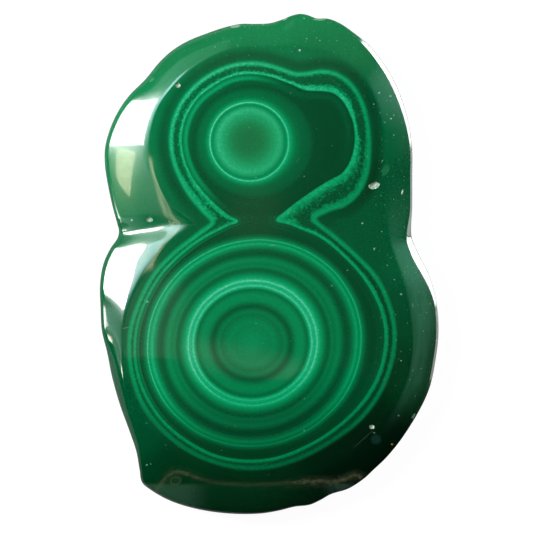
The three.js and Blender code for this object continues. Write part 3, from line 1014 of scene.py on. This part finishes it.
def with_facet_glint(colour, level, ragged, spots):
    """Painted reflection along the facet's edge: a warm glint, paler to the right, with a painted ring
    of it at the left, and a smudge on the facet below it.
    """
    x, y, _ = parts(level)
    to_facet = attribute(level.tree, "facet_line") / MM
    patchiness = noise(level, 1.3, 3.0, 0.7)
    paler, rising = smooth(x, 1.0, 8.0), smooth(x, -9.0, -14.0)
    # Painted glint: the crest and the flank stand in for light reflected along the facet's edge
    crest = ridge(to_facet, 0.0, 0.5) * (0.20 + paler * 0.28 + rising * 0.22) * (1.0 + patchiness)
    flank = ridge(to_facet, 0.2, 1.1) * smooth(patchiness, -0.4, 0.5) * (0.08 + paler * 0.4 + rising * 0.1)
    colour = tint(crest + flank, colour, linear((96, 100, 74)))
    # Painted glint in the shape of a ring at the left end of the line
    ring_glint = spot(spots, level, ragged * 0.6, (-15.0, -34.6), 1.9, 1.4, 15, 0.8)
    colour = tint(ring_glint * 0.30, colour, linear((110, 116, 84)))
    smudge = smooth(patchiness, -0.3, 0.6) * 0.03 + rising * 0.18 + smooth(x, 8.0, 12.0) * 0.24
    return tint(smooth(y, -34.8, -35.6) * smudge, colour, linear((110, 150, 128)))


def with_dust_and_painted_haze(colour, place):
    """Dust grains on the face, crowded on the top and the right as painted haze that stands in for
    light reflected off those slopes.
    """
    x, y, _ = parts(place)
    # Painted haze: where the slopes would mirror pale light, the grains are thicker and paler
    haze_zone = calc("MAXIMUM", smooth(x, 13.0, 20.0), smooth(y, 31.0, 36.0)) * smooth(y, -26.0, -8.0)
    grains = dust(place, 1.1, 0.13, 0.06 + haze_zone * 0.40)
    powder = dust(vector_calc("ADD", place, (3.3, 1.7, 0.0)), 0.45, 0.09, 0.03 + haze_zone * 0.35)
    colour = tint(grains * (0.35 + haze_zone * 0.35), colour, linear((180, 220, 200)))
    return tint(powder * (0.3 + haze_zone * 0.3), colour, linear((140, 180, 160)))


def dull_share(place):
    """Share of duller polish: on the slopes, less at the top, the bottom and the right notch."""
    x, y, _ = parts(place)
    on_left = smooth(x, 4.0, -6.0)
    left_band = smooth(y, -6.0, -1.0) * smooth(y, 29.0, 24.0)
    beside_notch = smooth(calc("ABSOLUTE", y - 9.0), 11.0, 4.0)
    right_band = smooth(y, -31.0, -22.0) * smooth(y, 33.0, 28.0) * (1.0 - beside_notch * 0.8)
    slope = smooth(attribute(place.tree, "outward"), 0.0, blend(on_left, 0.75, 0.15))
    return slope * blend(on_left, right_band, left_band)


def polished_face(group):
    material, shader, colour, place = stone_material("Polished malachite", group, 1.70)
    spots = spot_group()
    level = vector_calc("MULTIPLY", place, (1.0, 1.0, 0.0))
    ragged = noise(level, 4.0, 2.0, 0.6) * 0.35
    colour = with_facet_glint(colour, level, ragged, spots)
    for x, y, length, width, turn, share, shade in SPECKS:
        mask = spot(spots, level, ragged, (x, y), length, width, turn)
        colour = tint(mask * share, colour, linear(shade))
    colour = with_dust_and_painted_haze(colour, place)
    for name, value in {"Coat Weight": 1.0, "Coat Roughness": 0.01, "Coat IOR": 1.65}.items():
        shader.inputs[name].default_value = value
    dress(shader, colour, 0.10 + dull_share(place) * 0.165, noise(place, 0.25, 2.0, 0.5), 0.002)
    return material


def ground_wall(group):
    material, shader, colour, place = stone_material("Ground malachite edge", group, 1.85)
    rubbed = noise(vector_calc("MULTIPLY", place, (1.0, 1.0, 0.25)), 1.4, 4.0, 0.65)
    colour = tint(0.10 + smooth(rubbed, -0.4, 1.0) * 0.16, colour, linear((96, 150, 118)))
    dress(shader, colour, 0.34 + rubbed * 0.08, rubbed, 0.03)
    return material


def sawn_back(group):
    material, shader, colour, place = stone_material("Sawn malachite back", group, 1.85)
    strokes = noise(vector_calc("MULTIPLY", place, (0.12, 1.0, 1.0)), 2.2, 4.0, 0.6)
    colour = tint(0.20 + smooth(strokes, -0.5, 1.0) * 0.12, colour, linear((120, 170, 140)))
    dress(shader, colour, 0.52 + strokes * 0.06, strokes, 0.02)
    return material


def pit_lining(group):
    material, shader, colour, place = stone_material("Chalky pit lining", group, 1.5)
    chalk = smooth(noise(place, 2.5, 4.0, 0.7), -0.3, 0.3)
    colour = tint(0.35 + chalk * 0.65, colour, linear((235, 248, 232)))
    dress(shader, colour, 0.75, chalk, 0.05)
    return material


# Add-on

def settings():
    return bpy.context.scene.malachite_slice


class MalachiteSettings(bpy.types.PropertyGroup):
    thickness: FloatProperty(
        name="Thickness", description="Height of the polished face over the sawn back",
        default=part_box("malachite_slice")[1].z, unit="LENGTH")
    fall_start: FloatProperty(
        name="Fall start", description="Fall of the face that sets in at its flat middle",
        default=0.8 * MM, unit="LENGTH")
    fall_curve_left: FloatProperty(
        name="Fall curve, left", description="Fall that grows towards the left rim",
        default=1.35 * MM, unit="LENGTH")
    fall_curve_right: FloatProperty(
        name="Fall curve, right", description="Fall that grows towards the right rim",
        default=0.8 * MM, unit="LENGTH")
    rim_radius_left: FloatProperty(
        name="Rim radius, left", description="Rounding of the face's rim on the left",
        default=0.5 * MM, unit="LENGTH")
    rim_radius_right: FloatProperty(
        name="Rim radius, right", description="Rounding of the face's rim on the right",
        default=0.05 * MM, unit="LENGTH")
    wall_lean: FloatProperty(
        name="Wall lean", description="How far the wall leans in towards the back",
        default=0.7 * MM, unit="LENGTH")
    valley_depth: FloatProperty(
        name="Valley depth", description="Depth of the valley between the lobes at the left notch",
        default=0.7 * MM, unit="LENGTH")
    facet_edge: FloatProperty(
        name="Facet edge", description="Where the ground facet across the lower end begins",
        default=-34.7 * MM, unit="LENGTH")
    rays: IntProperty(name="Rays", description="Meridians round the slice", default=560, min=64)
    growth_slant: FloatVectorProperty(
        name="Growth slant", description="Sideways run of the growth bands per depth below the face",
        default=(0.08, -0.06), size=2)
    table_colour: FloatVectorProperty(
        name="Table colour", description="Colour of the table under the slice",
        default=(0.12, 0.12, 0.12), subtype="COLOR", size=3, min=0.0, max=1.0)
    camera_height: FloatProperty(
        name="Camera height", description="Distance of the camera over the slice",
        default=1.0, unit="LENGTH")


def slice_inputs(group):
    """Inputs of the slice's tree: what a user sets, and the sizes that only follow the photo."""
    chosen = settings()
    values = {
        "Outline": curve_object("Outline", OUTLINE),
        "Flat Edge": curve_object("Flat edge", FLAT_EDGE),
        "Inner Line": curve_object("Inner line", INNER_LINE),
        "Outer Line": curve_object("Outer line", OUTER_LINE),
        "Facet Line": curve_object("Facet line", FACET_LINE, closed=False),
        "Pits": pit_points(),
        "Fall Softness": 0.08,
        "Cut Back": 1.4 * MM,
        "Bevel Left": 0.7 * MM,
        "Bevel Right": 0.35 * MM,
        "Bevel Gain Below": 0.8 * MM,
        "Bevel Gain Above": 0.35 * MM,
        "Bevel Gradient Left": 0.2,
        "Bevel Gradient Right": 0.32,
        "Back Bevel": 0.5 * MM,
        "Valley Width": 2.0 * MM,
        "Valley Fillet": 0.45 * MM,
        "Facet Edge": chosen.facet_edge - MIDDLE.y * MM,
        "Facet Gradient": 0.14,
        "Growth Slant": (*chosen.growth_slant, 0.0),
        "Back Stations": 38,
        "Wall Stations": 15,
        "Face Stations": 112,
        "Back Finish": sawn_back(group),
        "Wall Finish": ground_wall(group),
        "Face Finish": polished_face(group),
        "Pit Finish": pit_lining(group),
    }
    places = {
        "Hub": (-1.0, 5.4),
        "Valley Head": (-13.2, 6.2),
        "Valley Mouth": (-24.1, 5.0),
        "Cut Back Place": (-29.0, -7.5),
        "Bevel Place Below": (24.6, 1.0),
        "Bevel Place Above": (19.3, 30.5),
    }
    values.update({name: (*to_frame(place), 0.0) for name, place in places.items()})
    for name in ("thickness", "fall_start", "fall_curve_left", "fall_curve_right", "rim_radius_left",
                 "rim_radius_right", "wall_lean", "valley_depth", "rays"):
        values[name.replace("_", " ").title()] = getattr(chosen, name)
    return values


class MALACHITE_OT_slice(bpy.types.Operator):
    """Make the polished slice with its growth bands and pits"""

    bl_idname = "malachite.slice"
    bl_label = "Polished slice"

    def execute(self, context):
        fewest_faces = 1000
        values = slice_inputs(GrowthTree().group)
        piece = add_object("polished_slice", bpy.data.meshes.new("polished_slice"))
        mesh = apply_tree(piece, SliceTree(values), values)
        for value in values.values():
            if isinstance(value, bpy.types.Object):
                bpy.data.objects.remove(value)
        if len(mesh.polygons) < fewest_faces:
            raise RuntimeError("The slice came out empty")
        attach(piece, "root")
        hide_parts("malachite_slice")
        return {"FINISHED"}


# Table, light and camera

def make_table(colour):
    """Table that the camera sees as near white, and that lights the slice as a mid grey."""
    half, drop = 2.0, -0.05 * MM
    corners = [(-half, -half, drop), (half, -half, drop), (half, half, drop), (-half, half, drop)]
    mesh = bpy.data.meshes.new("table")
    mesh.from_pydata(corners, [], [(0, 1, 2, 3)])
    material, tree, shader = new_material("Pale table")
    seen = wire(tree, "ShaderNodeLightPath", output="Is Camera Ray")
    plug(tree, shader.inputs["Base Color"], tint(seen, (0.25, 0.25, 0.25, 1.0), (*colour, 1.0)))
    plug(tree, shader.inputs["Emission Strength"], seen * 0.96)
    shader.inputs["Emission Color"].default_value = (1.0, 1.0, 1.0, 1.0)
    shader.inputs["Roughness"].default_value = 0.9
    shader.inputs["Specular IOR Level"].default_value = 0.1
    mesh.materials.append(material)
    return add_object("table", mesh)


def towards(azimuth, zenith):
    """Direction from the slice at an azimuth and a zenith angle in degrees."""
    a, t = math.radians(azimuth), math.radians(zenith)
    return Vector((math.cos(a) * math.sin(t), math.sin(a) * math.sin(t), math.cos(t)))


def sheet_mesh(name, corners):
    """Grid between four corners, with a UV map from the first of them."""
    steps = 8
    places, uvs = [], []
    for row in range(steps + 1):
        left, right = (corners[a].lerp(corners[b], row / steps) for a, b in ((0, 3), (1, 2)))
        for column in range(steps + 1):
            places.append(left.lerp(right, column / steps))
            uvs.append((column / steps, row / steps))
    faces = [(i, i + 1, i + steps + 2, i + steps + 1)
             for i in range(steps * (steps + 1)) if i % (steps + 1) < steps]
    mesh = bpy.data.meshes.new(name)
    mesh.from_pydata(places, [], faces)
    layer = mesh.uv_layers.new(name="Sheet")
    for loop in mesh.loops:
        layer.data[loop.index].uv = uvs[loop.vertex_index]
    return mesh


def glowing_sheet(name, corners, near, far, colour, edge, mottle, streaks, clear):
    """Glowing sheet between four corners, from its near radiance at the first two to its far one.

    Edge is the share that its sides fade over, mottle the share that soft blotches take away and
    streaks the same for stripes down the sheet. A clear sheet lets light through, and only the
    polish mirrors it.
    """
    material = bare_material(name)
    tree = material.node_tree
    u, v, _ = parts(wire(tree, "ShaderNodeUVMap", uv_map="Sheet"))
    fade = (smooth(u, 0.0, edge) * smooth(u, 1.0, 1.0 - edge)
            * smooth(v, 0.0, edge) * smooth(v, 1.0, 1.0 - edge))
    blotches = smooth(noise(point(tree, u, v), 8.0, 3.0, 0.6), 0.2, -0.2) * mottle
    drawn_out = noise(point(tree, u, v * 0.12), 11.0, 2.0, 0.6, (5.0, 2.0, 0.0))
    stripes = smooth(drawn_out, 0.1, -0.1) * streaks
    strength = blend(v, near, far) * fade * (1.0 - blotches) * (1.0 - stripes)
    glow = wire(tree, "ShaderNodeEmission", {"Color": (*colour, 1.0), "Strength": strength})
    if clear:
        passing = wire(tree, "ShaderNodeBsdfTransparent")
        glow = wire(tree, "ShaderNodeAddShader", {0: glow, 1: passing})
        material.cycles.emission_sampling = "NONE"
    output = tree.nodes.new("ShaderNodeOutputMaterial")
    tree.links.new(glow.socket, output.inputs[0])

    mesh = sheet_mesh(name, corners)
    mesh.materials.append(material)
    lamp = add_object(name, mesh)
    lamp.visible_camera = False
    lamp.visible_diffuse = not clear
    lamp.visible_shadow = not clear
    return lamp


def pane(name, corners, near, far, colour, edge, distance, clear):
    rays = [towards(*corner) for corner in corners]
    middle = sum(rays, Vector()).normalized()
    flat = [ray * (distance / ray.dot(middle)) for ray in rays]
    return glowing_sheet(name, flat, near, far, colour, edge, 0.0, 0.0, clear)


def card(name, corners, near, far, colour, edge, mottle, streaks):
    flat = [Vector((*to_frame(corner), CARD_HEIGHT * MM)) for corner in corners]
    return glowing_sheet(name, flat, near, far, colour, edge, mottle, streaks, True)


def make_world():
    """Dim room, brighter towards the top of the view, with a faint warm ceiling straight overhead."""
    world = bpy.data.worlds.new("Studio")
    world.use_nodes = True
    tree = world.node_tree
    tree.nodes.clear()
    x, y, z = parts(wire(tree, "ShaderNodeTexCoord", output="Generated"))
    room = (0.003 + smooth(y, -0.3, 0.7) * 0.057) * smooth(z, 0.998, 0.97)

    # Places of the ceiling in thousandths of its height; it ends at a wavy edge
    side, up = x / z * 1000.0, y / z * 1000.0
    here = point(tree, side, up)
    waves = noise(here, 0.15, 2.0, 0.6)
    grain = noise(here, 2.6, 2.0, 0.7, (2.0, 5.0, 0.0))
    edge = (-14.8 - smooth(side, -14.5, -11.5) * 3.2 + smooth(side, 3.5, 6.5) * 1.4
            - smooth(side, 12.0, 20.0) * 3.5)
    over = up - edge - waves * 1.2
    shade = smooth(distance_to(here, -7.0, -6.5), 7.0, 3.0)
    ceiling = 0.026 - shade * 0.02 - smooth(side, 6.0, 14.0) * 0.008
    left_glow = smooth(side, -10.0, -17.0) * smooth(over, 17.0, 9.0)
    drop = up + 14.9 + (side + 5.0) * 0.22
    core_glow = ridge(drop, 0.0, 3.6) * smooth(calc("ABSOLUTE", side + 4.0), 11.5, 8.0)
    glow = calc("MAXIMUM", left_glow * 0.25, core_glow * 0.32) * (1.0 + waves * 0.5)
    overhead = (ceiling + glow) * smooth(over, -0.3, 0.5) * (1.0 + grain)
    strength = room + overhead * smooth(z, 0.97, 0.998)
    inputs = {"Color": (1.0, 0.95, 0.85, 1.0), "Strength": strength}
    background = wire(tree, "ShaderNodeBackground", inputs)
    output = tree.nodes.new("ShaderNodeOutputWorld")
    tree.links.new(background.socket, output.inputs[0])
    bpy.context.scene.world = world


def make_camera(height):
    """Camera straight over the slice, whose view is as wide as the photo's at the face."""
    data = bpy.data.cameras.new("Camera")
    data.sensor_width = 36.0
    data.lens = data.sensor_width * height / (VIEW_WIDTH * MM)
    camera = add_object("Camera", data)
    camera.location = (*to_frame(VIEW_MIDDLE), height + VIEW_LEVEL * MM)
    bpy.context.scene.camera = camera


class MALACHITE_OT_stage(bpy.types.Operator):
    """Make the table, the studio light and the camera"""

    bl_idname = "malachite.stage"
    bl_label = "Table, light and camera"

    def execute(self, context):
        context.scene.view_settings.view_transform = "Standard"
        floor = make_table(settings().table_colour)
        lamps = [pane(*row) for row in PANES] + [card(*row) for row in CARDS]
        make_world()
        make_camera(settings().camera_height)
        return {"FINISHED"}


class MALACHITE_PT_panel(bpy.types.Panel):
    bl_idname = "MALACHITE_PT_panel"
    bl_label = "Malachite slice"
    bl_space_type = "VIEW_3D"
    bl_region_type = "UI"
    bl_category = "Malachite"

    def draw(self, context):
        column = self.layout.column()
        for name in MalachiteSettings.__annotations__:
            column.prop(settings(), name)
        for operator in OPERATORS:
            column.operator(operator.bl_idname)


OPERATORS = (MALACHITE_OT_slice, MALACHITE_OT_stage)
CLASSES = (MalachiteSettings, *OPERATORS, MALACHITE_PT_panel)


def register():
    for item in CLASSES:
        bpy.utils.register_class(item)
    bpy.types.Scene.malachite_slice = PointerProperty(type=MalachiteSettings)


def unregister():
    del bpy.types.Scene.malachite_slice
    for item in reversed(CLASSES):
        bpy.utils.unregister_class(item)


def main():
    register()
    bpy.ops.malachite.slice()
    bpy.ops.malachite.stage()


if __name__ == "__main__":
    main()
